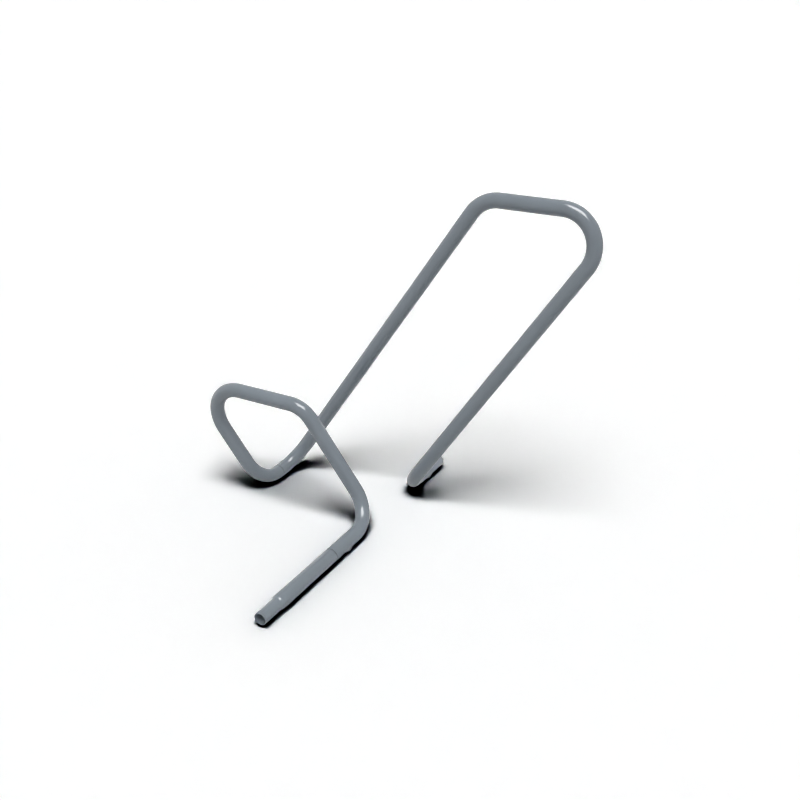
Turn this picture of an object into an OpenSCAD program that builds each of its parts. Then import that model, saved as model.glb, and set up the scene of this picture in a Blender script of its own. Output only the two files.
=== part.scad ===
// Hoop bike rack: one module of a row, bent from round steel tube.
// A low hoop and a tall hoop stand on one ground line. Each hoop slants the other way,
// so a front wheel rolls in between them. A connector tube plugs into the front end,
// and its swaged spigot plugs into the open rear end of the module before it.
// X runs along the row from spigot to socket, Y across it and Z up. The origin is the
// centre of the front foot's ground face.

/* [Tube] */
// Outside diameter of the round tube
tube_od = 42.4; // [34:0.1:52]
// Wall of the round tube
tube_wall = 2.6; // [2:0.1:4]
// Radial play between a spigot or sleeve and the tube that takes it
fit_play = 0.35; // [0.2:0.05:0.5]

/* [Hoops] */
// Length of each top bar, and distance between the two feet of a hoop
hoop_width = 400; // [360:5:480]
// Distance between the low hoop and the tall hoop along the row, at the ground
hoop_spacing = 180; // [175:1:240]
// Height of the low hoop's top bar above the ground line
low_rise = 325; // [280:5:400]
// Sideways slant of the low hoop, away from the ground line
low_slant = 200; // [150:5:230]
// Lean of the low hoop away from the tall hoop
low_lean = 43; // [20:1:60]
// Height of the tall hoop's top bar above the ground line
tall_rise = 892; // [800:5:950]
// Sideways slant of the tall hoop, over the ground line
tall_slant = 582; // [500:5:600]
// Lean of the tall hoop away from the low hoop
tall_lean = 96; // [60:1:120]

/* [Bends] */
// Centre line radius of the bends at the ground
ground_bend_r = 90; // [70:1:92]
// Centre line radius of the low hoop's shallow top bend
low_shoulder_r = 76; // [60:1:110]
// Centre line radius of the low hoop's sharp top bend
low_knuckle_r = 99; // [80:1:110]
// Centre line radius of the tall hoop's shallow top bend
tall_shoulder_r = 92; // [60:1:120]
// Centre line radius of the tall hoop's sharp top bend
tall_knuckle_r = 94; // [80:1:110]

/* [Ground line] */
// From the front foot back to the low hoop's corner
front_run = 145; // [120:1:180]
// From the front foot forward to the seam
seam_run = 77; // [72:1:120]
// From the tall hoop's corner back to the rear foot
rear_foot_run = 149; // [140:1:220]
// From the rear foot back to the socket's mouth
socket_run = 75; // [30:1:90]
// Chamfer inside the socket's mouth
mouth_chamfer = 1; // [0.5:0.1:2]

/* [Connector] */
// Full-diameter length of the connector tube
connector_length = 238; // [150:1:400]
// Length over which the tube is swaged down to the spigot
shoulder_length = 10; // [6:1:30]
// Length of the spigot
spigot_length = 68; // [40:1:90]
// Wall of the spigot
spigot_wall = 2.6; // [2:0.1:4]
// Chamfer on the spigot's outer edge
spigot_chamfer = 1; // [0.5:0.1:1.5]
// Width of the seam between the connector tube and the front stub
seam_gap = 2.5; // [1:0.1:4]
// Length of the joining sleeve pressed into the connector tube
sleeve_seat = 60; // [40:1:100]
// Length of the joining sleeve that slides into the front stub
sleeve_insert = 60; // [40:1:65]
// Wall of the joining sleeve
sleeve_wall = 3; // [2:0.1:4]

/* [Feet] */
// Gap between the ground and the underside of the tube
ground_gap = 3; // [2:0.1:8]
// Length of a foot block along the tube
foot_length = 28; // [22:1:40]
// Width of a foot block across the tube
foot_width = 28; // [22:1:34]
// Radius of a foot block's upright corners
foot_corner_r = 9; // [3:0.5:10]
// Tapping diameter of the anchor hole
anchor_d = 6.8; // [5:0.1:8.5]
// Leg of the fillet weld between foot and tube
foot_weld_leg = 1.5; // [1:0.1:3]
// Length of the middle pad along the tube
pad_length = 8; // [6:0.5:12]
// Width of the middle pad across the tube
pad_width = 10; // [6:0.5:14]
// Radius of the middle pad's upright corners
pad_corner_r = 2; // [1:0.5:2.5]

/* [Middle weld] */
// Root gap between the two hoops, filled by the weld
weld_root = 3; // [2:0.1:4]
// Width of the weld's cap
weld_cap = 6; // [5:0.1:8]
// Height of the weld's cap above the tube
weld_crown = 0.4; // [0.2:0.05:0.8]
// Distance from the weld's cap to the middle pad
pad_offset = 1; // [0.5:0.1:3]

/* [Hidden] */
$fn = 64;

// How far a cut runs past the surface that it opens
cut_over = 1;
// Steps in the swaged shoulder's curve
shoulder_steps = 10;
// Sides of the bent tubes, and the largest turn between two of their rings
tube_sides = 32;
bend_step = 8;

tube_r = tube_od / 2;
bore_r = tube_r - tube_wall;
plug_r = bore_r - fit_play;
axis_z = ground_gap + tube_r;

// Stations along the row
low_x = front_run;
tall_x = low_x + hoop_spacing;
middle_x = low_x + hoop_spacing / 2;
rear_foot_x = tall_x + rear_foot_run;
mouth_x = rear_foot_x + socket_run;
stub_face_x = -seam_run + seam_gap / 2;
connector_face_x = -seam_run - seam_gap / 2;
sleeve_end_x = stub_face_x + sleeve_insert;
pad_x = middle_x - weld_cap / 2 - pad_offset - pad_length / 2;

// Corners of the centre line, where the straight runs would meet
low_start = [low_x, 0, axis_z];
low_first_top = low_start + [-low_lean, low_slant, low_rise];
low_second_top = low_first_top + [0, hoop_width, 0];
low_end = low_start + [0, hoop_width, 0];
middle = [middle_x, hoop_width, axis_z];
tall_start = [tall_x, hoop_width, axis_z];
tall_first_top = tall_start + [tall_lean, -tall_slant, tall_rise];
tall_second_top = tall_first_top - [0, hoop_width, 0];
tall_end = tall_start - [0, hoop_width, 0];

coat = [0.49, 0.52, 0.55];
bare_steel = [0.62, 0.62, 0.60];

function unit(v) = v / norm(v);
// The direction from a to b
function heading(a, b) = unit(b - a);
// The direction square to u that leans towards v
function towards(u, v) = unit(v - (u * v) * u);
// The length that a bend of radius r takes off each straight run at corner b
function trim_length(a, b, c, r) = r * tan(acos(heading(a, b) * heading(b, c)) / 2);

// Where the bends next to the stubs end
front_bend_x = low_x - trim_length(low_start - [front_run, 0, 0], low_start, low_first_top, ground_bend_r);
rear_bend_x = tall_x + trim_length(tall_second_top, tall_end, tall_end + [rear_foot_run, 0, 0], ground_bend_r);

// The vector v turned by an angle about the unit vector axle
function spun(v, axle, angle) =
    v * cos(angle) + cross(axle, v) * sin(angle) + axle * (axle * v) * (1 - cos(angle));

// The rings of a bent tube from corner i on, each as its centre, its heading and its side.
// The side turns with every bend, so that the tube's wall never twists.
function bend_rings(corners, radii, i, side) =
    i == len(corners) - 1 ? [] :
    let (way = heading(corners[i - 1], corners[i]),
         next_way = heading(corners[i], corners[i + 1]),
         inward = towards(way, next_way),
         axle = cross(way, inward),
         angle = acos(way * next_way),
         r = radii[i - 1],
         pivot = corners[i] - way * r * tan(angle / 2) + inward * r,
         steps = ceil(angle / bend_step))
    concat([for (n = [0:steps]) let (t = angle * n / steps)
                [pivot - r * spun(inward, axle, t), spun(way, axle, t), spun(side, axle, t)]],
           bend_rings(corners, radii, i + 1, spun(side, axle, angle)));

// The points of one ring of radius r
function ring_points(ring, r) =
    [for (k = [0:tube_sides - 1]) let (a = 360 * k / tube_sides)
        ring[0] + r * (cos(a) * ring[2] + sin(a) * cross(ring[1], ring[2]))];

// A tube bent along a list of corners, one radius to each inner corner.
// The first and last corners are its cut ends.
module bent_tube(corners, radii) {
    way = heading(corners[0], corners[1]);
    side = towards(way, heading(corners[1], corners[2]));
    bends = bend_rings(corners, radii, 1, side);
    finish = bends[len(bends) - 1];
    rings = concat([[corners[0], way, side]], bends, [[corners[len(corners) - 1], finish[1], finish[2]]]);
    count = len(rings) * tube_sides;
    points = [for (r = [tube_r, bore_r], ring = rings) each ring_points(ring, r)];
    // The four corners of each patch between ring j and the next, on the outside and in the bore
    patches = [for (j = [0:len(rings) - 2], k = [0:tube_sides - 1])
        let (a = j * tube_sides + k, b = j * tube_sides + (k + 1) % tube_sides)
        [a, b, b + tube_sides, a + tube_sides]];
    // The four corners of each patch of the two end faces, between the outside and the bore
    rims = [for (k = [0:tube_sides - 1]) let (b = (k + 1) % tube_sides) [k, k + count, b + count, b]];
    polyhedron(points, concat(
        patches,
        [for (f = patches) [f[3] + count, f[2] + count, f[1] + count, f[0] + count]],
        rims,
        [for (f = rims) [for (n = [3:-1:0]) f[n] + count - tube_sides]]));
}

// A solid bar along the ground line's axis, from x = a to x = b
module ground_bar(a, b, r, y = 0) {
    translate([a, y, axis_z]) rotate([0, 90, 0]) cylinder(h = b - a, r = r);
}

// A hollow tube along the ground line's axis, from x = a to x = b
module ground_tube(a, b, outer, inner) {
    difference() {
        ground_bar(a, b, outer);
        ground_bar(a - cut_over, b + cut_over, inner);
    }
}

// The tapped hole that takes a ground anchor, through a foot and the tube's wall
module anchor_hole(x) {
    translate([x, 0, -cut_over]) cylinder(h = axis_z, d = anchor_d);
}

// An upright block on the ground with rounded corners
module round_cornered_block(x, y, length, width, corner_r, height) {
    translate([x, y, 0]) {
        translate([corner_r - length / 2, -width / 2, 0]) cube([length - 2 * corner_r, width, height]);
        translate([-length / 2, corner_r - width / 2, 0]) cube([length, width - 2 * corner_r, height]);
        for (a = [-1, 1], b = [-1, 1])
            translate([a * (length / 2 - corner_r), b * (width / 2 - corner_r), 0])
                cylinder(h = height, r = corner_r);
    }
}

// A block on the ground whose top fits the underside of the tube
module saddle_block(x, y, length, width, corner_r) {
    difference() {
        round_cornered_block(x, y, length, width, corner_r, axis_z);
        ground_bar(x - length, x + length, tube_r, y);
        translate([x - length, y - width, axis_z - sqrt(pow(tube_r, 2) - pow(width / 2, 2))])
            cube([2 * length, 2 * width, axis_z]);
    }
}

// The low hoop, from the end of the front stub to the middle weld
module low_hoop() {
    color(coat)
    bent_tube([[front_bend_x, 0, axis_z], low_start, low_first_top, low_second_top, low_end,
               middle - [weld_root / 2, 0, 0]],
              [ground_bend_r, low_shoulder_r, low_knuckle_r, ground_bend_r]);
}

// The tall hoop, from the middle weld to the start of the rear stub
module tall_hoop() {
    color(coat)
    bent_tube([middle + [weld_root / 2, 0, 0], tall_start, tall_first_top, tall_second_top, tall_end,
               [rear_bend_x, 0, axis_z]],
              [ground_bend_r, tall_shoulder_r, tall_knuckle_r, ground_bend_r]);
}

// The low hoop's tube end on the ground line, which takes the joining sleeve
module front_stub() {
    color(coat)
    difference() {
        ground_tube(stub_face_x, front_bend_x, tube_r, bore_r);
        anchor_hole(0);
    }
}

// The tall hoop's tube end on the ground line, open as a socket for the next module
module rear_stub() {
    color(coat)
    difference() {
        ground_tube(rear_bend_x, mouth_x, tube_r, bore_r);
        anchor_hole(rear_foot_x);
        translate([mouth_x - mouth_chamfer, 0, axis_z]) rotate([0, 90, 0])
            cylinder(h = 2 * mouth_chamfer, r1 = bore_r, r2 = bore_r + 2 * mouth_chamfer);
    }
}

// The butt weld that joins the hoops between their second feet
module middle_weld() {
    color(coat)
    translate(middle) rotate([0, 90, 0])
    rotate_extrude()
    polygon([[bore_r, -weld_root / 2], [tube_r, -weld_root / 2], [tube_r, -weld_cap / 2],
             [tube_r + weld_crown, -weld_cap / 4], [tube_r + weld_crown, weld_cap / 4],
             [tube_r, weld_cap / 2], [tube_r, weld_root / 2], [bore_r, weld_root / 2]]);
}

// The connector tube, swaged down to a spigot at its front end
module connector_tube() {
    inner_end_r = plug_r - spigot_wall;
    shoulder_z = connector_length;
    spigot_z = shoulder_z + shoulder_length;
    end_z = spigot_z + spigot_length;
    steps = [for (i = [0:shoulder_steps]) i / shoulder_steps];
    outer = [for (t = steps)
        [plug_r + (tube_r - plug_r) * (1 + cos(180 * t)) / 2, shoulder_z + t * shoulder_length]];
    inner = [for (t = steps)
        [inner_end_r + (bore_r - inner_end_r) * (1 - cos(180 * t)) / 2, spigot_z - t * shoulder_length]];
    color(coat)
    translate([connector_face_x, 0, axis_z]) rotate([0, -90, 0])
    rotate_extrude()
    polygon(concat([[bore_r, 0], [tube_r, 0]], outer,
                   [[plug_r, end_z - spigot_chamfer], [plug_r - spigot_chamfer, end_z], [inner_end_r, end_z]],
                   inner));
}

// The sleeve inside the seam: pressed into the connector tube, free to slide in the front stub
module joining_sleeve() {
    color(bare_steel)
    difference() {
        union() {
            ground_bar(connector_face_x - sleeve_seat, connector_face_x, bore_r);
            ground_bar(connector_face_x, sleeve_end_x, plug_r);
        }
        ground_bar(connector_face_x - sleeve_seat - cut_over, sleeve_end_x + cut_over, plug_r - sleeve_wall);
    }
}

// A foot block with its anchor hole
module foot(x) {
    color(coat)
    difference() {
        saddle_block(x, 0, foot_length, foot_width, foot_corner_r);
        anchor_hole(x);
    }
}

// Fillet welds along the two straight ends of a foot's saddle
module foot_weld(x) {
    weld_width = foot_width - 2 * foot_corner_r;
    color(coat)
    for (side = [-1, 1])
    intersection() {
        translate([x + side * foot_length / 2, 0, axis_z]) rotate([0, side * 90, 0])
        difference() {
            cylinder(h = foot_weld_leg, r1 = tube_r + foot_weld_leg, r2 = tube_r);
            translate([0, 0, -cut_over]) cylinder(h = foot_weld_leg + 2 * cut_over, r = tube_r);
        }
        translate([x - foot_length, -weld_width / 2, 0]) cube([2 * foot_length, weld_width, axis_z]);
    }
}

low_hoop();
tall_hoop();
front_stub();
rear_stub();
middle_weld();
connector_tube();
joining_sleeve();
foot(0);  // front_foot
foot(rear_foot_x);  // rear_foot
foot_weld(0);  // front_foot_weld
foot_weld(rear_foot_x);  // rear_foot_weld
color(coat) saddle_block(pad_x, hoop_width, pad_length, pad_width, pad_corner_r);  // middle_pad
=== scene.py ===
"""The finished look of a hoop bike rack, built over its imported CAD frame.

Two bent tubes, a plug-in connector tube, their welds, feet and joining sleeve are modelled as pieces that
stand for the CAD nodes, and a studio shows them on a white floor. Every length is in metres, in the rack's
own frame: X runs along the row from spigot to socket, Y across it and Z up, and the origin is the centre of
the front foot's ground face.
"""
from math import asin, ceil, cos, pi, radians, sin, sqrt, tan

import bmesh
import bpy
from bpy.props import FloatProperty, FloatVectorProperty, IntProperty, PointerProperty
from bpy.types import Operator, Panel, PropertyGroup
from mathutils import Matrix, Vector


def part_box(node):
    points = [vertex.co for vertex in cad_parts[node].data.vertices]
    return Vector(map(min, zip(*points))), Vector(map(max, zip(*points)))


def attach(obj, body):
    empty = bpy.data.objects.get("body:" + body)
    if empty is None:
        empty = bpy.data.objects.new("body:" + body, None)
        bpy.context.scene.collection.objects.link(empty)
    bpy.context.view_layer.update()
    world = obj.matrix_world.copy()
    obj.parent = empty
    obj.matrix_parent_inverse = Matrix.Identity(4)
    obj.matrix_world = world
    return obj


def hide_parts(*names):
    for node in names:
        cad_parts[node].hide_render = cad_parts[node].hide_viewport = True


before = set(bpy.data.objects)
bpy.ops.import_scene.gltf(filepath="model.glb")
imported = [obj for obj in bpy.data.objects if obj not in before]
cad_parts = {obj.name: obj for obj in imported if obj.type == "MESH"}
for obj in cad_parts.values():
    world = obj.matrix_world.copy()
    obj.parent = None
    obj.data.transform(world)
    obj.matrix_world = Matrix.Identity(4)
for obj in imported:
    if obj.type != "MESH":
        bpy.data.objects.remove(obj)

bl_info = {
    "name": "Hoop Bike Rack",
    "version": (1, 0, 0),
    "blender": (4, 5, 0),
    "location": "3D View > Sidebar > Bike Rack",
    "description": "Models a bent-tube hoop bike rack and the studio that shows it",
    "category": "Add Mesh",
}

X_AXIS = Vector((1, 0, 0))
Z_AXIS = Vector((0, 0, 1))
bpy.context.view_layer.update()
SOCKET_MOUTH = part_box("rear_stub")[1][0]
SEAM_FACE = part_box("front_stub")[0][0]
CONNECTOR_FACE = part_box("connector_tube")[1][0]
SPIGOT_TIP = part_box("connector_tube")[0][0]
SLEEVE_ENDS = (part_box("joining_sleeve")[0][0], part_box("joining_sleeve")[1][0])

# Distances, in metres, within which points count as one, as on a cut end, and as on its rim.
MERGE_DISTANCE = 0.000002
END_TOLERANCE = 0.00001
RIM_TOLERANCE = 0.0002

# Steps round small shapes that the tube's own sides don't set.
EDGE_STEPS = 3
CORNER_STEPS = 12
HOLE_SIDES = 32
SADDLE_SIDES = 256
BEAD_SIDES = 12

# How much of a face's normal has to point at the tube's axis for the face to be part of the bore.
INWARD_SHARE = 0.5

# The sharpest edge that is still shaded smooth, on most pieces and on the welds' ripples.
PIECE_SMOOTHING = radians(35)
WELD_SMOOTHING = radians(60)

# Sizes of the lumps in the finishes, in metres, and the part of a noise's range that is used.
CLOUD_SIZE = 0.12
GLOSS_PATCH_SIZE = 0.02
OVERSPRAY_LUMP_SIZE = 0.006
ZINC_SPOT_SIZE = 0.004
NOISE_MIDDLE = (0.3, 0.7)

# The camera's sensor, in millimetres, and how far it sees, in metres.
SENSOR_WIDTH = 36
CAMERA_REACH = 100


def length(name, description, default, least=0.0):
    """A length property in metres."""
    return FloatProperty(name=name, description=description, default=default, min=least,
                         precision=4, subtype="DISTANCE", unit="LENGTH")


def share(name, description, default, most=1.0):
    """A property that is a share, with no unit."""
    return FloatProperty(name=name, description=description, default=default, min=0.0, max=most,
                         precision=3, subtype="FACTOR")


def colour(name, description, default):
    """A linear colour property."""
    return FloatVectorProperty(name=name, description=description, default=default, min=0.0, max=1.0,
                               size=3, subtype="COLOR")


class TubeSizes(PropertyGroup):
    """The round tube that the whole rack is bent from."""
    diameter: length("Diameter", "Outside diameter of the tube", 0.0424)
    wall: length("Wall", "Wall of the tube", 0.0026)
    axis_height: length("Axis height", "Height of the ground runs' centre line", 0.0242)
    rim_round: length("Rim rounding", "Rounding of the tube's cut ends", 0.0005)
    sides: IntProperty(name="Sides", description="Flat sides round the tube", default=64, min=16, max=256)
    bend_step: FloatProperty(name="Bend step", description="Largest turn between two rings of a bend",
                             default=radians(4), min=radians(1), subtype="ANGLE", unit="ROTATION")


class RunSizes(PropertyGroup):
    """Where the hoops stand along the row and across it."""
    width: length("Hoop width", "Length of each top bar, and distance between a hoop's two feet", 0.4)
    low_station: length("Low hoop", "From the front foot back to the low hoop's corner", 0.145)
    spacing: length("Spacing", "Distance between the low hoop and the tall hoop at the ground", 0.18)
    ground_bend: length("Ground bend", "Centre line radius of the bends at the ground", 0.09)
    rear_foot: length("Rear foot", "From the front foot back to the rear foot", 0.474)


class LowHoopSizes(PropertyGroup):
    """The low hoop's slanted top."""
    rise: length("Rise", "Height of the top bar above the ground runs", 0.325)
    slant: length("Slant", "Sideways slant away from the ground line", 0.2)
    lean: length("Lean", "Lean away from the tall hoop", 0.043)
    shoulder: length("Shoulder", "Centre line radius of the shallow top bend", 0.076)
    knuckle: length("Knuckle", "Centre line radius of the sharp top bend", 0.099)


class TallHoopSizes(PropertyGroup):
    """The tall hoop's slanted top."""
    rise: length("Rise", "Height of the top bar above the ground runs", 0.892)
    slant: length("Slant", "Sideways slant over the ground line", 0.582)
    lean: length("Lean", "Lean away from the low hoop", 0.096)
    shoulder: length("Shoulder", "Centre line radius of the shallow top bend", 0.092)
    knuckle: length("Knuckle", "Centre line radius of the sharp top bend", 0.094)


class ConnectorSizes(PropertyGroup):
    """The connector tube with its swaged spigot, and the sleeve that joins it."""
    body: length("Body", "Full-diameter length of the connector tube", 0.238)
    shoulder: length("Shoulder", "Length over which the tube is swaged down", 0.01)
    shoulder_steps: IntProperty(name="Shoulder steps", description="Rings along the swaged shoulder",
                                default=14, min=4, max=64)
    spigot_radius: length("Spigot radius", "Outside radius of the spigot and the sleeve's free half", 0.01825)
    spigot_wall: length("Spigot wall", "Wall of the spigot", 0.0026)
    sleeve_wall: length("Sleeve wall", "Wall of the joining sleeve's free half", 0.003)
    spigot_round: length("Spigot rounding", "Rounding of the spigot's outer edge", 0.001)
    mouth_chamfer: length("Mouth chamfer", "Chamfer inside the socket's mouth", 0.001)


class FootSizes(PropertyGroup):
    """The two anchor feet and the pad under the middle weld."""
    foot_length: length("Foot length", "Length of a foot block along the tube", 0.028)
    foot_width: length("Foot width", "Width of a foot block across the tube", 0.028)
    foot_corner: length("Foot corner", "Radius of a foot block's upright edges", 0.009)
    pad_length: length("Pad length", "Length of the middle pad along the tube", 0.008)
    pad_width: length("Pad width", "Width of the middle pad across the tube", 0.01)
    pad_corner: length("Pad corner", "Radius of the middle pad's upright edges", 0.002)
    pad_station: length("Pad station", "From the front foot back to the middle pad", 0.227)
    anchor_hole: length("Anchor hole", "Diameter of the tapped hole for a ground anchor", 0.0068)
    edge_round: length("Edge rounding", "Rounding of the blocks' lower edges", 0.0005)


class WeldSizes(PropertyGroup):
    """The butt weld between the hoops and the fillet welds at the feet."""
    station: length("Middle weld", "From the front foot back to the middle weld", 0.235)
    root: length("Root gap", "Gap between the hoops that the middle weld fills", 0.003)
    cap: length("Cap", "Width of the middle weld's cap", 0.006)
    crown: length("Crown", "Height of the middle weld's cap above the tube", 0.0004)
    fillet_bead: length("Fillet bead", "Half thickness of the fillet welds at the feet", 0.00135)
    ripple_pitch: length("Ripple pitch", "Distance between two ripples of a weld", 0.0016, 0.0005)
    ripple_height: length("Ripple height", "Height of a weld's ripples", 0.00012)


class CoatFinish(PropertyGroup):
    """The blue-grey powder coat."""
    tint: colour("Colour", "Main colour of the coat", (0.216, 0.253, 0.288))
    # The coat on the welds keeps this share of its colour, so the welds are drawn darker.
    weld_shade: share("Weld shade", "How much of the coat's colour the dirt on the welds leaves", 0.8)
    mottle: share("Mottle", "How far the coat's colour drifts over a hand's width", 0.05)
    roughness: share("Roughness", "Roughness of the coat", 0.1)
    roughness_drift: share("Roughness drift", "How far the roughness drifts either way", 0.01)
    peel_size: length("Peel size", "Size of the coat's orange-peel dimples", 0.0016, 0.0002)
    peel_depth: length("Peel depth", "Depth of the coat's orange-peel dimples", 0.000004)
    peel_strength: share("Peel strength", "How strongly the dimples show", 0.6)
    overspray: length("Overspray", "How far the coat reaches into an open tube end", 0.07)
    overspray_ragged: share("Ragged edge", "Raggedness of the overspray's edge, as a share of its reach", 0.6)
    overspray_fade: share("Overspray fade", "Where the coat ends, past its reach and as a share of it", 0.5)


class SteelFinish(PropertyGroup):
    """Bare mill steel inside the tubes and zinc-plated steel on the sleeve."""
    mill_tint: colour("Mill steel", "Colour of the bare steel inside the tubes", (0.16, 0.155, 0.15))
    mill_roughness: share("Mill roughness", "Roughness of the bare steel", 0.55)
    zinc_tint: colour("Zinc", "Colour of the dull zinc plating", (0.33, 0.335, 0.335))
    zinc_spots: share("Zinc spots", "How much darker the spots in the zinc are", 0.1)
    zinc_roughness: share("Zinc roughness", "Roughness of the zinc plating", 0.45)
    zinc_drift: share("Zinc drift", "How far that roughness drifts either way over the turning marks", 0.08)
    # Painted shade: the ring of sleeve in the open seam is drawn near black, as the shade in that narrow
    # groove.
    painted_shade_tint: colour("Seam grime", "Colour of the dirt that gathers in the seam", (0.02, 0.02, 0.02))
    turning_pitch: length("Turning pitch", "Distance between the turning marks on the sleeve", 0.0006, 0.0001)
    turning_length: length("Turning length", "Length of a turning mark round the sleeve", 0.05, 0.001)
    turning_depth: length("Turning depth", "Depth of the turning marks", 0.00003)
    turning_strength: share("Turning strength", "How strongly the turning marks show", 0.4)


class StudioSettings(PropertyGroup):
    """Camera, lamps and floor."""
    lens: FloatProperty(name="Lens", description="Focal length on a 36 mm sensor", default=43.5756,
                        min=10, subtype="DISTANCE_CAMERA", unit="CAMERA")
    camera_place: FloatVectorProperty(name="Camera place", description="Where the camera stands",
                                      default=(-1.90264, -1.24567, 1.50774), size=3,
                                      subtype="TRANSLATION", unit="LENGTH")
    camera_tilt: FloatProperty(name="Tilt", description="How far the camera looks down",
                               default=0.433431, subtype="ANGLE", unit="ROTATION")
    camera_swing: FloatProperty(name="Swing", description="The camera's heading from the row's direction",
                                default=0.51427, subtype="ANGLE", unit="ROTATION")
    sky: share("Sky", "Strength of the light from all round, at the horizon", 0.7, 4.0)
    sky_fade: share("Sky fade", "How much of the light from all round is lost towards the zenith", 0.8)
    softbox: FloatProperty(name="Softbox", description="Strength of the square softbox overhead", default=6.5,
                           min=0.0)
    softbox_slope: FloatVectorProperty(name="Softbox slope", size=2, default=(-0.359, -0.22),
                                       description="Sideways over upwards, towards the softbox's centre")
    softbox_reach: FloatVectorProperty(name="Softbox reach", size=2, default=(0.31, 0.324), min=0.0,
                                       description="Sideways over upwards, from the centre to the sides")
    softbox_turn: FloatProperty(name="Softbox turn", description="How far the softbox is turned from the row",
                                default=0.25, subtype="ANGLE", unit="ROTATION")
    gloss_power: FloatProperty(name="Gloss lamp", description="Power of the lamp that only the gloss shows",
                               default=1254.0, min=0.0, unit="POWER")
    gloss_place: FloatVectorProperty(name="Gloss lamp place", description="Centre of that lamp", size=3,
                                     default=(-2.838, -2.04, 8.974), subtype="TRANSLATION", unit="LENGTH")
    gloss_size: length("Gloss lamp size", "Side of that square lamp", 5.75)
    floor_size: length("Floor size", "Side of the square floor", 120.0)
    floor_shade: share("Floor shade", "Brightness of the floor as the rack sees it", 0.45)
    floor_white: FloatProperty(name="Floor white", description="Colour at which the lit floor is pure white",
                               default=1.131, min=0.0)
    floor_contrast: FloatProperty(name="Floor contrast", default=3.0, min=1.0,
                                  description="How much deeper the camera sees a shadow")


class RackSettings(PropertyGroup):
    """Every size and finish of the rack."""
    tube: PointerProperty(type=TubeSizes)
    runs: PointerProperty(type=RunSizes)
    low_hoop: PointerProperty(type=LowHoopSizes)
    tall_hoop: PointerProperty(type=TallHoopSizes)
    connector: PointerProperty(type=ConnectorSizes)
    feet: PointerProperty(type=FootSizes)
    welds: PointerProperty(type=WeldSizes)
    coat: PointerProperty(type=CoatFinish)
    steel: PointerProperty(type=SteelFinish)
    studio: PointerProperty(type=StudioSettings)


def deselect_all():
    """Leaves object mode with nothing selected, so that the next operator acts on its own piece only."""
    if bpy.context.object and bpy.context.object.mode != "OBJECT":
        bpy.ops.object.mode_set(mode="OBJECT")
    bpy.ops.object.select_all(action="DESELECT")


def select_only(piece):
    """Makes a piece the only one selected, and the active one."""
    deselect_all()
    piece.select_set(True)
    bpy.context.view_layer.objects.active = piece


def start_ring(sides, radius, centre, way):
    """Starts a piece as one open ring square to the given way, and opens it in edit mode."""
    deselect_all()
    bpy.ops.mesh.primitive_circle_add(vertices=sides, radius=radius, location=centre,
                                      rotation=way.to_track_quat("Z", "Y").to_euler())
    bpy.ops.object.transform_apply(location=True, rotation=True, scale=True)
    bpy.ops.object.mode_set(mode="EDIT")
    bpy.ops.mesh.select_all(action="SELECT")
    return bpy.context.object


def extrude_by(step):
    """Extrudes the selected ring along a straight step."""
    bpy.ops.mesh.extrude_region_move(TRANSFORM_OT_translate={"value": step})


def spin_about(pivot, axle, angle, steps):
    """Spins the selected ring right-handed about an axle. The operator itself turns the other way."""
    bpy.ops.mesh.spin(steps=steps, angle=-angle, center=pivot, axis=axle)


def select_points(piece, wanted):
    """Selects, in edit mode, only the vertices whose place passes the test, and what lies between them."""
    bpy.ops.mesh.select_mode(type="VERT")
    bpy.ops.mesh.select_all(action="DESELECT")
    mesh = bmesh.from_edit_mesh(piece.data)
    for vertex in mesh.verts:
        vertex.select_set(wanted(vertex.co))
    mesh.select_flush(True)
    bmesh.update_edit_mesh(piece.data)


def select_edges(piece, wanted):
    """Selects, in edit mode, only the edges whose two ends pass the test."""
    bpy.ops.mesh.select_mode(type="EDGE")
    bpy.ops.mesh.select_all(action="DESELECT")
    for edge in bmesh.from_edit_mesh(piece.data).edges:
        if wanted(edge.verts[0].co, edge.verts[1].co):
            edge.select_set(True)
    bmesh.update_edit_mesh(piece.data)


def close_and_turn_out(piece):
    """Merges doubled points, points every face outwards and leaves edit mode."""
    bpy.ops.mesh.select_all(action="SELECT")
    bpy.ops.mesh.remove_doubles(threshold=MERGE_DISTANCE)
    bpy.ops.mesh.normals_make_consistent(inside=False)
    bpy.ops.object.mode_set(mode="OBJECT")
    return piece


def apply_modifier(piece, kind, **settings):
    """Adds one modifier to a piece with its settings, and applies it."""
    select_only(piece)
    modifier = piece.modifiers.new(kind.title(), kind)
    for name, value in settings.items():
        setattr(modifier, name, value)
    bpy.ops.object.modifier_apply(modifier=modifier.name)


def cut_with_cylinder(piece, radius, centre, way, depth, sides):
    """Cuts a round hole or saddle out of a piece. The cut is centred on a point and runs along the way."""
    deselect_all()
    bpy.ops.mesh.primitive_cylinder_add(vertices=sides, radius=radius, depth=depth, location=centre,
                                        rotation=way.to_track_quat("Z", "Y").to_euler())
    cutter = bpy.context.object
    apply_modifier(piece, "BOOLEAN", operation="DIFFERENCE", object=cutter, solver="EXACT")
    bpy.data.objects.remove(cutter)


def dress(piece, *materials):
    """Adds materials to a piece's slots, in order."""
    for material in materials:
        piece.data.materials.append(material)


def finish_piece(piece, name, body, nodes, materials=(), smooth=PIECE_SMOOTHING):
    """Names a finished piece, smooths and dresses it, and ties it to the CAD body and nodes it stands for.
    A piece that has its materials already gets none."""
    select_only(piece)
    bpy.ops.object.shade_smooth_by_angle(angle=smooth)
    piece.name = piece.data.name = name
    dress(piece, *materials)
    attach(piece, body)
    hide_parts(*nodes)


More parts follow.
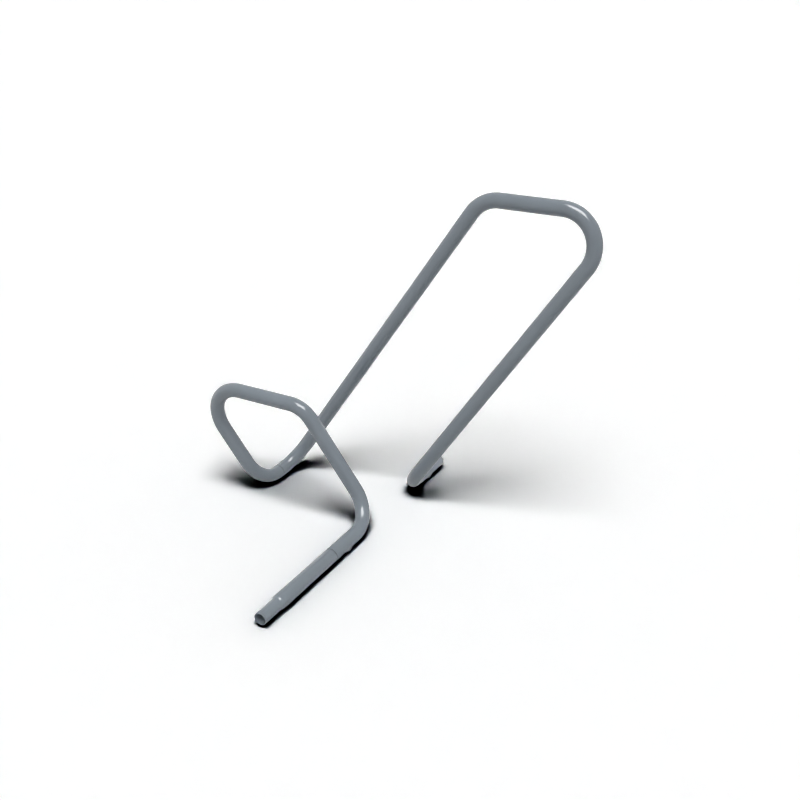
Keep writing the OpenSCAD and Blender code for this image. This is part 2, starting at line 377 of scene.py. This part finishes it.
def bend_tube(corners, radii, tube):
    """A hollow tube bent along a list of corners: one ring, extruded along each straight and spun round
    each bend, then given its wall. The first and last corners are the cut ends."""
    here = corners[0]
    piece = start_ring(tube.sides, tube.diameter / 2, here, corners[1] - here)
    for corner, after, radius in zip(corners[1:-1], corners[2:], radii):
        way, next_way = (corner - here).normalized(), (after - corner).normalized()
        angle = way.angle(next_way)
        trim = radius * tan(angle / 2)
        bend_start = corner - way * trim
        inward = (next_way - way * way.dot(next_way)).normalized()
        extrude_by(bend_start - here)
        spin_about(bend_start + inward * radius, way.cross(inward), angle, ceil(angle / tube.bend_step))
        here = corner + next_way * trim
    extrude_by(corners[-1] - here)
    return close_and_turn_out(piece)


def give_wall(piece, tube, outside, bore):
    """Gives a bent tube its wall, inwards, and its two materials."""
    dress(piece, outside, bore)
    apply_modifier(piece, "SOLIDIFY", thickness=tube.wall, offset=-1, use_even_offset=True,
                   use_quality_normals=True, material_offset=1, material_offset_rim=0)


def bevel_rim(piece, centre, way, radius, width, segments):
    """Bevels the rim with the given radius at a tube's cut end."""
    bpy.ops.object.mode_set(mode="EDIT")
    select_points(piece, lambda p: abs((p - centre).dot(way)) < END_TOLERANCE
                  and abs((p - centre).length - radius) < RIM_TOLERANCE)
    bpy.ops.mesh.bevel(offset=width, segments=segments, affect="EDGES")
    bpy.ops.object.mode_set(mode="OBJECT")


def cut_anchor_hole(piece, station, rack):
    """Cuts a foot's tapped hole, up from the ground into the tube's bore, at a place along the row."""
    cut_with_cylinder(piece, rack.feet.anchor_hole / 2, Vector((station, 0, 0)), Z_AXIS,
                      2 * rack.tube.axis_height, HOLE_SIDES)


def low_hoop_corners(rack):
    """Corners of the low hoop's centre line, from the seam to the middle weld."""
    low, width, z = rack.low_hoop, rack.runs.width, rack.tube.axis_height
    foot = Vector((rack.runs.low_station, 0, z))
    first_top = foot + Vector((-low.lean, low.slant, low.rise))
    across = Vector((0, width, 0))
    weld_face = Vector((rack.welds.station - rack.welds.root / 2, width, z))
    return [Vector((SEAM_FACE, 0, z)), foot, first_top, first_top + across, foot + across, weld_face]


def tall_hoop_corners(rack):
    """Corners of the tall hoop's centre line, from the middle weld to the socket's mouth."""
    tall, width, z = rack.tall_hoop, rack.runs.width, rack.tube.axis_height
    foot = Vector((rack.runs.low_station + rack.runs.spacing, width, z))
    first_top = foot + Vector((tall.lean, -tall.slant, tall.rise))
    across = Vector((0, -width, 0))
    weld_face = Vector((rack.welds.station + rack.welds.root / 2, width, z))
    return [weld_face, foot, first_top, first_top + across, foot + across, Vector((SOCKET_MOUTH, 0, z))]


def turned_ring(stations, centre_height, sides):
    """A closed piece turned about the row's ground axis. The stations are its outline, as x and radius.
    One ring is extruded and scaled from station to station, and the last is bridged to the first."""
    x, radius = stations[0]
    piece = start_ring(sides, radius, Vector((x, 0, centre_height)), X_AXIS)
    for next_x, next_radius in stations[1:]:
        extrude_by(Vector((next_x - x, 0, 0)))
        factor = next_radius / radius
        bpy.ops.transform.resize(value=(factor, factor, factor), center_override=(next_x, 0, centre_height))
        x, radius = next_x, next_radius
    mesh = bmesh.from_edit_mesh(piece.data)
    for edge in mesh.edges:
        edge.select_set(edge.is_boundary)
    bmesh.update_edit_mesh(piece.data)
    bpy.ops.mesh.select_mode(type="EDGE")
    bpy.ops.mesh.bridge_edge_loops()
    return close_and_turn_out(piece)


def rounded_edge(x, radius, x_sense, r_sense, size, steps=4):
    """Stations that round an outside edge, from the face square to the axis on to the cylinder."""
    return [(x + x_sense * size * (1 - cos(a)), radius - r_sense * size * (1 - sin(a)))
            for a in (pi / 2 * k / steps for k in range(steps + 1))]


def swaged_shoulder(neck, wide, narrow, sizes):
    """Stations along half a cosine wave, from the neck, where the shoulder is wide, down to the spigot."""
    steps = [k / sizes.shoulder_steps for k in range(sizes.shoulder_steps + 1)]
    return [(neck - sizes.shoulder * t, narrow + (wide - narrow) * (1 + cos(pi * t)) / 2) for t in steps]


def connector_outline(rack):
    """The connector tube's outline: from the seam along the outside to the spigot's tip, and back inside."""
    tube, sizes = rack.tube, rack.connector
    tube_radius, tip_radius = tube.diameter / 2, sizes.spigot_radius
    bore_radius, tip_bore = tube_radius - tube.wall, tip_radius - sizes.spigot_wall
    neck = CONNECTOR_FACE - sizes.body
    return [*rounded_edge(CONNECTOR_FACE, tube_radius, -1, 1, tube.rim_round),
            *swaged_shoulder(neck, tube_radius, tip_radius, sizes),
            *reversed(rounded_edge(SPIGOT_TIP, tip_radius, 1, 1, sizes.spigot_round)),
            *rounded_edge(SPIGOT_TIP, tip_bore, 1, -1, tube.rim_round),
            *reversed(swaged_shoulder(neck, bore_radius, tip_bore, sizes)),
            (CONNECTOR_FACE - tube.rim_round, bore_radius),
            (CONNECTOR_FACE, bore_radius + tube.rim_round)]


def sleeve_outline(rack):
    """The joining sleeve's outline: its seat in the connector tube, then the free half that slides."""
    sizes = rack.connector
    seat_radius, free_radius = rack.tube.diameter / 2 - rack.tube.wall, sizes.spigot_radius
    bore_radius, edge = free_radius - sizes.sleeve_wall, sizes.spigot_round
    back, front = SLEEVE_ENDS
    return [(back, bore_radius), *rounded_edge(back, seat_radius, 1, 1, edge),
            (CONNECTOR_FACE, seat_radius), (CONNECTOR_FACE, free_radius),
            *reversed(rounded_edge(front, free_radius, -1, 1, edge)), (front, bore_radius)]


def paint_bore(piece, axis_height):
    """Gives the second material to the faces that look in at the row's ground axis. The first is outside."""
    for face in piece.data.polygons:
        out = Vector((0, face.center.y, face.center.z - axis_height))
        if face.normal.dot(out.normalized()) < -INWARD_SHARE:
            face.material_index = 1


def weld_bead(centre, radius, section, arc, ripples, ripple_height):
    """A rippled bead of weld about the row's direction through a centre. Its section is an oval of half width
    and half height. Its arc is the angle from straight down at which it starts, and its sweep. The oval is
    spun through the sweep in two steps to a ripple, and every other ring is then swollen."""
    start, sweep = arc
    steps = 2 * ripples
    out = Vector((0, sin(start), -cos(start)))
    along = X_AXIS.cross(out)
    place = centre + out * radius
    piece = start_ring(BEAD_SIDES, 1, place, along)
    half_width, half_height = section
    bpy.ops.transform.resize(value=(half_width, half_height, half_height), center_override=place)
    if sweep < 2 * pi:
        bpy.ops.mesh.edge_face_add()
        bpy.ops.mesh.select_all(action="SELECT")
    spin_about(centre, X_AXIS, sweep, steps)
    close_and_turn_out(piece)
    bpy.ops.object.mode_set(mode="EDIT")

    def on_ripple(point):
        spoke = Vector((point.y - centre.y, point.z - centre.z))
        angle = (spoke.angle_signed(Vector((0, -1))) - start) % (2 * pi)
        return round(angle / sweep * steps) % 2 == 1
    select_points(piece, on_ripple)
    bpy.ops.transform.shrink_fatten(value=ripple_height)
    bpy.ops.object.mode_set(mode="OBJECT")
    return piece


def saddle_block(size, corner, place, rack):
    """A block on the ground with rounded corners, whose top fits the underside of the tube."""
    tube_radius, z = rack.tube.diameter / 2, rack.tube.axis_height
    height = z - sqrt(tube_radius ** 2 - (size[1] / 2) ** 2)
    deselect_all()
    bpy.ops.mesh.primitive_cube_add(size=1, location=(place[0], place[1], height / 2))
    piece = bpy.context.object
    piece.scale = (size[0], size[1], height)
    bpy.ops.object.transform_apply(location=True, rotation=True, scale=True)
    bpy.ops.object.mode_set(mode="EDIT")
    select_edges(piece, lambda a, b: abs(a.z - b.z) > height / 2)
    bpy.ops.mesh.bevel(offset=corner, segments=CORNER_STEPS, affect="EDGES")
    select_edges(piece, lambda a, b: max(a.z, b.z) < height / 2)
    bpy.ops.mesh.bevel(offset=rack.feet.edge_round, segments=EDGE_STEPS, affect="EDGES")
    bpy.ops.object.mode_set(mode="OBJECT")
    cut_with_cylinder(piece, tube_radius, Vector((place[0], place[1], z)), X_AXIS, 4 * size[0], SADDLE_SIDES)
    return piece


def node_of(tree, kind, place, **inputs):
    """Adds a node at a place in the editor, and sets its named inputs."""
    node = tree.nodes.new(kind)
    node.location = place
    for name, value in inputs.items():
        node.inputs[name.replace("_", " ")].default_value = value
    return node


def empty_tree(owner):
    """Turns on the nodes of a material or world and clears them away."""
    owner.use_nodes = True
    owner.node_tree.nodes.clear()
    return owner.node_tree


def new_material(name):
    """An empty material with an output and a principled shader, as (material, tree, shader)."""
    material = bpy.data.materials.new(name)
    tree = empty_tree(material)
    output = node_of(tree, "ShaderNodeOutputMaterial", (600, 0))
    shader = node_of(tree, "ShaderNodeBsdfPrincipled", (300, 0))
    tree.links.new(shader.outputs["BSDF"], output.inputs["Surface"])
    return material, tree, shader


def math_of(tree, place, operation, *values):
    """The outcome of one sum. Each value is a number or the socket that it comes from."""
    sums = node_of(tree, "ShaderNodeMath", place)
    sums.operation = operation
    for socket, value in zip(sums.inputs, values):
        if isinstance(value, bpy.types.NodeSocket):
            tree.links.new(value, socket)
        else:
            socket.default_value = value
    return sums.outputs["Value"]


def extreme_of(tree, place, operation, signals):
    """The largest or smallest of several signals, as the operation says."""
    found = signals[0]
    for column, signal in enumerate(signals[1:]):
        found = math_of(tree, (place[0] + 160 * column, place[1]), operation, found, signal)
    return found


def ramp_of(tree, place, signal, ends, levels):
    """A signal spread so that its two ends become the two levels, and kept between them."""
    ramp = node_of(tree, "ShaderNodeMapRange", place)
    for name, value in zip(("From Min", "From Max", "To Min", "To Max"), (*ends, *levels)):
        ramp.inputs[name].default_value = value
    tree.links.new(signal, ramp.inputs["Value"])
    return ramp.outputs["Result"]


def blend_of(tree, place, factor, first, second):
    """A blend of two colours by a factor. Each is three numbers or the socket that it comes from."""
    blend = node_of(tree, "ShaderNodeMix", place)
    blend.data_type = "RGBA"
    tree.links.new(factor, blend.inputs["Factor"])
    for name, tint in (("A", first), ("B", second)):
        if isinstance(tint, bpy.types.NodeSocket):
            tree.links.new(tint, blend.inputs[name])
        else:
            blend.inputs[name].default_value = (*tint, 1)
    return blend.outputs["Result"]


def noise_of(tree, place, size, detail=2.0):
    """A noise in the piece's own coordinates whose lumps are about the given size."""
    where = node_of(tree, "ShaderNodeTexCoord", (place[0] - 200, place[1]))
    noise = node_of(tree, "ShaderNodeTexNoise", place, Scale=1 / size, Detail=detail)
    tree.links.new(where.outputs["Object"], noise.inputs["Vector"])
    return noise.outputs["Fac"]


def distance_of(tree, place, station):
    """How far along the row a point of the piece is from a station."""
    where = node_of(tree, "ShaderNodeTexCoord", place)
    parts = node_of(tree, "ShaderNodeSeparateXYZ", (place[0] + 200, place[1]))
    tree.links.new(where.outputs["Object"], parts.inputs["Vector"])
    off = math_of(tree, (place[0] + 400, place[1]), "SUBTRACT", parts.outputs["X"], station)
    return math_of(tree, (place[0] + 560, place[1]), "ABSOLUTE", off)


def add_bump(tree, shader, height, strength, distance):
    """Turns a signal into bump on a shader."""
    bump = node_of(tree, "ShaderNodeBump", (0, -500), Strength=strength, Distance=distance)
    tree.links.new(height, bump.inputs["Height"])
    tree.links.new(bump.outputs["Normal"], shader.inputs["Normal"])


def add_peel(tree, shader, coat):
    """The orange-peel dimples of sprayed powder, as bump."""
    dimples = noise_of(tree, (-400, -500), coat.peel_size)
    add_bump(tree, shader, dimples, coat.peel_strength, coat.peel_depth)


def coat_colour(tree, coat, shade=1.0):
    """The coat's colour, darkened by a shade and drifting a little over a hand's width."""
    low, high = ([c * shade * (1 + way * coat.mottle) for c in coat.tint] for way in (-1, 1))
    cloud = noise_of(tree, (-600, 300), CLOUD_SIZE, detail=3.0)
    return blend_of(tree, (0, 300), ramp_of(tree, (-300, 300), cloud, NOISE_MIDDLE, (0.0, 1.0)), low, high)


def powder_coat(coat, name, shade):
    """Semi-gloss blue-grey powder coat, darkened by a shade."""
    material, tree, shader = new_material(name)
    tree.links.new(coat_colour(tree, coat, shade), shader.inputs["Base Color"])
    levels = (coat.roughness - coat.roughness_drift, coat.roughness + coat.roughness_drift)
    patches = noise_of(tree, (-600, 0), GLOSS_PATCH_SIZE)
    tree.links.new(ramp_of(tree, (-300, 0), patches, NOISE_MIDDLE, levels), shader.inputs["Roughness"])
    add_peel(tree, shader, coat)
    return material


def tube_bore(name, coat, steel, mouths):
    """The inside of a tube: powder coat near its open mouths, given as x, then bare mill steel."""
    material, tree, shader = new_material(name)
    depths = [distance_of(tree, (-1400, -100 - 160 * row), mouth) for row, mouth in enumerate(mouths)]
    ragged = noise_of(tree, (-600, -350), OVERSPRAY_LUMP_SIZE, detail=4.0)
    edge = math_of(tree, (-300, -200), "MULTIPLY_ADD", ragged, coat.overspray * coat.overspray_ragged,
                   extreme_of(tree, (-460, -180), "MINIMUM", depths))
    bare = ramp_of(tree, (-140, -200), edge, (coat.overspray, coat.overspray * (1 + coat.overspray_fade)),
                   (0.0, 1.0))
    tint = blend_of(tree, (100, 200), bare, coat_colour(tree, coat), steel.mill_tint)
    gloss = ramp_of(tree, (100, -100), bare, (0.0, 1.0), (coat.roughness, steel.mill_roughness))
    tree.links.new(tint, shader.inputs["Base Color"])
    tree.links.new(gloss, shader.inputs["Roughness"])
    tree.links.new(bare, shader.inputs["Metallic"])
    add_peel(tree, shader, coat)
    return material


def painted_seam_shade(tree):
    """One on the ring of the sleeve that lies open in the seam, where shade is painted, and nought beside it.
    """
    half_gap = (SEAM_FACE - CONNECTOR_FACE) / 2
    away = distance_of(tree, (-1200, 600), (SEAM_FACE + CONNECTOR_FACE) / 2)
    return ramp_of(tree, (-400, 600), away, (half_gap, 2 * half_gap), (1.0, 0.0))


def turning_marks(tree, steel):
    """A noise drawn out into fine rings round the row's axis."""
    where = node_of(tree, "ShaderNodeTexCoord", (-1000, -200))
    stretch = node_of(tree, "ShaderNodeMapping", (-800, -200))
    round_axis = 1 / steel.turning_length
    stretch.inputs["Scale"].default_value = (1 / steel.turning_pitch, round_axis, round_axis)
    marks = node_of(tree, "ShaderNodeTexNoise", (-600, -200), Scale=1.0, Detail=2.0)
    tree.links.new(where.outputs["Object"], stretch.inputs["Vector"])
    tree.links.new(stretch.outputs["Vector"], marks.inputs["Vector"])
    return marks.outputs["Fac"]


def zinc_steel(steel):
    """Zinc-plated steel with fine turning marks round the row's axis, and a ring of painted shade in the
    seam.
    """
    material, tree, shader = new_material("zinc_plating")
    painted_ring, marks = painted_seam_shade(tree), turning_marks(tree, steel)
    spots = noise_of(tree, (-600, 300), ZINC_SPOT_SIZE, detail=4.0)
    spotted = blend_of(tree, (0, 300), spots, [c * (1 - steel.zinc_spots) for c in steel.zinc_tint],
                       steel.zinc_tint)
    levels = (steel.zinc_roughness - steel.zinc_drift, steel.zinc_roughness + steel.zinc_drift)
    # Painted shade: the ring in the open seam turns near black and loses its metal.
    tree.links.new(blend_of(tree, (150, 300), painted_ring, spotted, steel.painted_shade_tint), shader.inputs["Base Color"])
    tree.links.new(math_of(tree, (0, 100), "SUBTRACT", 1.0, painted_ring), shader.inputs["Metallic"])
    tree.links.new(ramp_of(tree, (-300, -100), marks, NOISE_MIDDLE, levels), shader.inputs["Roughness"])
    add_bump(tree, shader, marks, steel.turning_strength, steel.turning_depth)
    return material


def coat_of(rack, name="blue_grey_coat", shade=1.0):
    """The powder coat by its name, made on first use."""
    return bpy.data.materials.get(name) or powder_coat(rack.coat, name, shade)


def weld_coat_of(rack):
    """The powder coat on the welds, drawn a little darker."""
    return coat_of(rack, "coat_on_welds", rack.coat.weld_shade)


class RACK_OT_low_hoop(Operator):
    """Bend the low hoop with the front stub that takes the joining sleeve"""
    bl_idname = "bike_rack.low_hoop"
    bl_label = "Low Hoop"

    def execute(self, context):
        rack = context.scene.bike_rack
        tube, runs, low = rack.tube, rack.runs, rack.low_hoop
        corners = low_hoop_corners(rack)
        piece = bend_tube(corners, [runs.ground_bend, low.shoulder, low.knuckle, runs.ground_bend], tube)
        bore = tube_bore("low_hoop_bore", rack.coat, rack.steel, [SEAM_FACE])
        give_wall(piece, tube, coat_of(rack), bore)
        for radius in (tube.diameter / 2, tube.diameter / 2 - tube.wall):
            bevel_rim(piece, corners[0], X_AXIS, radius, tube.rim_round, EDGE_STEPS)
        cut_anchor_hole(piece, 0, rack)
        finish_piece(piece, "low_hoop_tube", "rack", ["low_hoop", "front_stub"])
        return {"FINISHED"}


class RACK_OT_tall_hoop(Operator):
    """Bend the tall hoop with the rear stub whose open end is the socket"""
    bl_idname = "bike_rack.tall_hoop"
    bl_label = "Tall Hoop"

    def execute(self, context):
        rack = context.scene.bike_rack
        tube, runs, tall = rack.tube, rack.runs, rack.tall_hoop
        corners = tall_hoop_corners(rack)
        piece = bend_tube(corners, [runs.ground_bend, tall.shoulder, tall.knuckle, runs.ground_bend], tube)
        bore = tube_bore("tall_hoop_bore", rack.coat, rack.steel, [SOCKET_MOUTH])
        give_wall(piece, tube, coat_of(rack), bore)
        bevel_rim(piece, corners[-1], X_AXIS, tube.diameter / 2, tube.rim_round, EDGE_STEPS)
        bevel_rim(piece, corners[-1], X_AXIS, tube.diameter / 2 - tube.wall, rack.connector.mouth_chamfer, 1)
        cut_anchor_hole(piece, runs.rear_foot, rack)
        finish_piece(piece, "tall_hoop_tube", "rack", ["tall_hoop", "rear_stub"])
        return {"FINISHED"}


class RACK_OT_connector_tube(Operator):
    """Swage the connector tube down to its hollow spigot"""
    bl_idname = "bike_rack.connector_tube"
    bl_label = "Connector Tube"

    def execute(self, context):
        rack = context.scene.bike_rack
        piece = turned_ring(connector_outline(rack), rack.tube.axis_height, rack.tube.sides)
        dress(piece, coat_of(rack),
              tube_bore("connector_bore", rack.coat, rack.steel, [SPIGOT_TIP, CONNECTOR_FACE]))
        paint_bore(piece, rack.tube.axis_height)
        finish_piece(piece, "connector_tube_skin", "connector", ["connector_tube"])
        return {"FINISHED"}


class RACK_OT_joining_sleeve(Operator):
    """Turn the zinc-plated sleeve that bridges the seam"""
    bl_idname = "bike_rack.joining_sleeve"
    bl_label = "Joining Sleeve"

    def execute(self, context):
        rack = context.scene.bike_rack
        piece = turned_ring(sleeve_outline(rack), rack.tube.axis_height, rack.tube.sides)
        finish_piece(piece, "joining_sleeve_turned", "connector", ["joining_sleeve"],
                     [zinc_steel(rack.steel)])
        return {"FINISHED"}


class RACK_OT_middle_weld(Operator):
    """Run the rippled butt weld that joins the two hoops"""
    bl_idname = "bike_rack.middle_weld"
    bl_label = "Middle Weld"

    def execute(self, context):
        rack = context.scene.bike_rack
        welds, tube_radius = rack.welds, rack.tube.diameter / 2
        centre = Vector((welds.station, rack.runs.width, rack.tube.axis_height))
        ripples = 2 * round(pi * tube_radius / welds.ripple_pitch)
        piece = weld_bead(centre, tube_radius - welds.crown, (welds.cap / 2, 2 * welds.crown), (0, 2 * pi),
                          ripples, welds.ripple_height)
        finish_piece(piece, "middle_weld_bead", "rack", ["middle_weld"], [weld_coat_of(rack)],
                     WELD_SMOOTHING)
        return {"FINISHED"}


class RACK_OT_feet(Operator):
    """Shape the two anchor feet and the pad under the middle weld"""
    bl_idname = "bike_rack.feet"
    bl_label = "Feet"

    def execute(self, context):
        rack = context.scene.bike_rack
        feet, runs = rack.feet, rack.runs
        foot = (feet.foot_length, feet.foot_width)
        pad = (feet.pad_length, feet.pad_width)
        for name, size, corner, place in (
                ("front_foot", foot, feet.foot_corner, (0, 0)),
                ("rear_foot", foot, feet.foot_corner, (runs.rear_foot, 0)),
                ("middle_pad", pad, feet.pad_corner, (feet.pad_station, runs.width))):
            piece = saddle_block(size, corner, place, rack)
            if size is foot:
                cut_anchor_hole(piece, place[0], rack)
            finish_piece(piece, name + "_block", "rack", [name], [coat_of(rack)])
        return {"FINISHED"}


class RACK_OT_foot_welds(Operator):
    """Run the rippled fillet welds between feet and tube"""
    bl_idname = "bike_rack.foot_welds"
    bl_label = "Foot Welds"

    def execute(self, context):
        rack = context.scene.bike_rack
        feet, welds, tube_radius = rack.feet, rack.welds, rack.tube.diameter / 2
        reach = asin((feet.foot_width / 2 - feet.foot_corner) / tube_radius)
        ripples = 2 * round(reach * tube_radius / welds.ripple_pitch)
        for name, station in (("front_foot_weld", 0), ("rear_foot_weld", rack.runs.rear_foot)):
            beads = []
            for side in (-1, 1):
                centre = Vector((station + side * feet.foot_length / 2, 0, rack.tube.axis_height))
                beads.append(weld_bead(centre, tube_radius, (welds.fillet_bead, welds.fillet_bead),
                                       (-reach, 2 * reach), ripples, welds.ripple_height))
            select_only(beads[0])
            beads[1].select_set(True)
            bpy.ops.object.join()
            finish_piece(beads[0], name + "_beads", "rack", [name], [weld_coat_of(rack)],
                         WELD_SMOOTHING)
        return {"FINISHED"}


def sees_white(tree, ray, place):
    """One for the rays to which the studio is pure white: the camera's, reflected and transmitted ones."""
    signals = [ray.outputs[f"Is {kind} Ray"] for kind in ("Camera", "Glossy", "Transmission")]
    return extreme_of(tree, place, "MAXIMUM", signals)


def floor_material(studio):
    """A floor that keeps the softbox's shadow. Its lit part is pure white to the camera and in the gloss,
    and plain grey to the light that it throws back on the rack. The camera sees the shadow deepened: the
    colour is multiplied by the contrast, and what that adds to pure white is taken off again."""
    material = bpy.data.materials.new("studio_floor")
    tree = empty_tree(material)
    output = node_of(tree, "ShaderNodeOutputMaterial", (800, 0))
    both = node_of(tree, "ShaderNodeAddShader", (600, 0))
    surface = node_of(tree, "ShaderNodeBsdfDiffuse", (400, 100))
    taken_off = node_of(tree, "ShaderNodeEmission", (400, -100), Color=(1, 1, 1, 1))
    ray = node_of(tree, "ShaderNodeLightPath", (-800, 0))
    camera, off_on = ray.outputs["Is Camera Ray"], (0.0, 1.0)
    plain = ramp_of(tree, (-100, 100), sees_white(tree, ray, (-500, 100)), off_on,
                    (studio.floor_shade, studio.floor_white))
    deep = ramp_of(tree, (-100, 350), camera, off_on, (1.0, studio.floor_contrast))
    tree.links.new(math_of(tree, (200, 100), "MULTIPLY", plain, deep), surface.inputs["Color"])
    tree.links.new(ramp_of(tree, (-100, -200), camera, off_on, (0.0, 1 - studio.floor_contrast)),
                   taken_off.inputs["Strength"])
    tree.links.new(surface.outputs["BSDF"], both.inputs[0])
    tree.links.new(taken_off.outputs["Emission"], both.inputs[1])
    tree.links.new(both.outputs["Shader"], output.inputs["Surface"])
    return material


def hang_gloss_lamp(studio):
    """Hangs a square lamp in the softbox's place that lights nothing and shows only in the gloss."""
    lamp = bpy.data.lights.new("studio_gloss_lamp", "AREA")
    lamp.shape, lamp.size, lamp.energy = "SQUARE", studio.gloss_size, studio.gloss_power
    holder = bpy.data.objects.new("studio_gloss_lamp", lamp)
    holder.location = studio.gloss_place
    holder.rotation_euler = (0, 0, studio.softbox_turn)
    holder.visible_camera = holder.visible_diffuse = False
    bpy.context.scene.collection.objects.link(holder)


def softbox_mask(tree, parts, studio):
    """One where a direction, given by its turned parts, points at the softbox, and nought elsewhere."""
    cosine, sine = cos(studio.softbox_turn), sin(studio.softbox_turn)
    x, y = studio.softbox_slope
    centre = (x * cosine + y * sine, y * cosine - x * sine)
    mask = math_of(tree, (-600, 500), "GREATER_THAN", parts.outputs["Z"], 0.0)
    for row, axis in enumerate("XY"):
        height = 300 - 200 * row
        slope = math_of(tree, (-600, height), "DIVIDE", parts.outputs[axis], parts.outputs["Z"])
        inside = math_of(tree, (-400, height), "COMPARE", slope, centre[row], studio.softbox_reach[row])
        mask = math_of(tree, (-200, height), "MULTIPLY", mask, inside)
    return mask


def light_world(studio):
    """A world that is pure white to the camera and in the gloss. To the rest it is a sky that fades towards
    the zenith. A square softbox shines from far off, so that it lights the whole floor alike."""
    world = bpy.data.worlds.new("studio_world")
    bpy.context.scene.world = world
    tree = empty_tree(world)
    output = node_of(tree, "ShaderNodeOutputWorld", (600, 0))
    light = node_of(tree, "ShaderNodeBackground", (400, 0), Color=(1, 1, 1, 1))
    seen = sees_white(tree, node_of(tree, "ShaderNodeLightPath", (-1000, -400)), (-800, -400))
    where = node_of(tree, "ShaderNodeTexCoord", (-1200, 300))
    turned = node_of(tree, "ShaderNodeMapping", (-1000, 300), Rotation=(0, 0, -studio.softbox_turn))
    parts = node_of(tree, "ShaderNodeSeparateXYZ", (-800, 300))
    tree.links.new(where.outputs["Generated"], turned.inputs["Vector"])
    tree.links.new(turned.outputs["Vector"], parts.inputs["Vector"])
    sky = math_of(tree, (-200, -100), "MULTIPLY_ADD", parts.outputs["Z"],
                  -studio.sky * studio.sky_fade, studio.sky)
    lit = math_of(tree, (0, 0), "MULTIPLY_ADD", softbox_mask(tree, parts, studio), studio.softbox, sky)
    strength = node_of(tree, "ShaderNodeMix", (200, 0), B=1.0)
    tree.links.new(seen, strength.inputs["Factor"])
    tree.links.new(lit, strength.inputs["A"])
    tree.links.new(strength.outputs["Result"], light.inputs["Strength"])
    tree.links.new(light.outputs["Background"], output.inputs["Surface"])


class RACK_OT_studio(Operator):
    """Set up the white floor, the lamps and the camera"""
    bl_idname = "bike_rack.studio"
    bl_label = "Studio"

    def execute(self, context):
        studio = context.scene.bike_rack.studio
        deselect_all()
        bpy.ops.mesh.primitive_plane_add(size=studio.floor_size, location=(0, 0, 0))
        floor = context.object
        floor.name = "studio_floor"
        floor.data.materials.append(floor_material(studio))
        light_world(studio)
        hang_gloss_lamp(studio)
        camera = bpy.data.cameras.new("studio_camera")
        camera.lens = studio.lens
        camera.sensor_width = SENSOR_WIDTH
        camera.clip_end = CAMERA_REACH
        holder = bpy.data.objects.new("studio_camera", camera)
        holder.location = studio.camera_place
        holder.rotation_euler = (pi / 2 - studio.camera_tilt, 0, studio.camera_swing - pi / 2)
        context.scene.collection.objects.link(holder)
        context.scene.camera = holder
        context.scene.view_settings.view_transform = "Standard"
        return {"FINISHED"}


MAKING = (RACK_OT_low_hoop, RACK_OT_tall_hoop, RACK_OT_middle_weld, RACK_OT_connector_tube,
          RACK_OT_joining_sleeve, RACK_OT_feet, RACK_OT_foot_welds, RACK_OT_studio)


class RACK_PT_pieces(Panel):
    """The rack's pieces and the studio, in the order in which they are made"""
    bl_label = "Bike Rack"
    bl_idname = "RACK_PT_pieces"
    bl_space_type = "VIEW_3D"
    bl_region_type = "UI"
    bl_category = "Bike Rack"

    def draw(self, context):
        for step in MAKING:
            self.layout.operator(step.bl_idname)


CLASSES = (TubeSizes, RunSizes, LowHoopSizes, TallHoopSizes, ConnectorSizes, FootSizes, WeldSizes, CoatFinish,
           SteelFinish, StudioSettings, RackSettings, *MAKING, RACK_PT_pieces)


def register():
    """Registers the classes and hangs the settings on the scene."""
    for cls in CLASSES:
        bpy.utils.register_class(cls)
    bpy.types.Scene.bike_rack = PointerProperty(type=RackSettings)


def unregister():
    """Takes the settings and classes away again."""
    del bpy.types.Scene.bike_rack
    for cls in reversed(CLASSES):
        bpy.utils.unregister_class(cls)


def main():
    """Registers the classes, then makes every piece in order."""
    register()
    for step in MAKING:
        family, name = step.bl_idname.split(".")
        getattr(getattr(bpy.ops, family), name)()


if __name__ == "__main__":
    main()
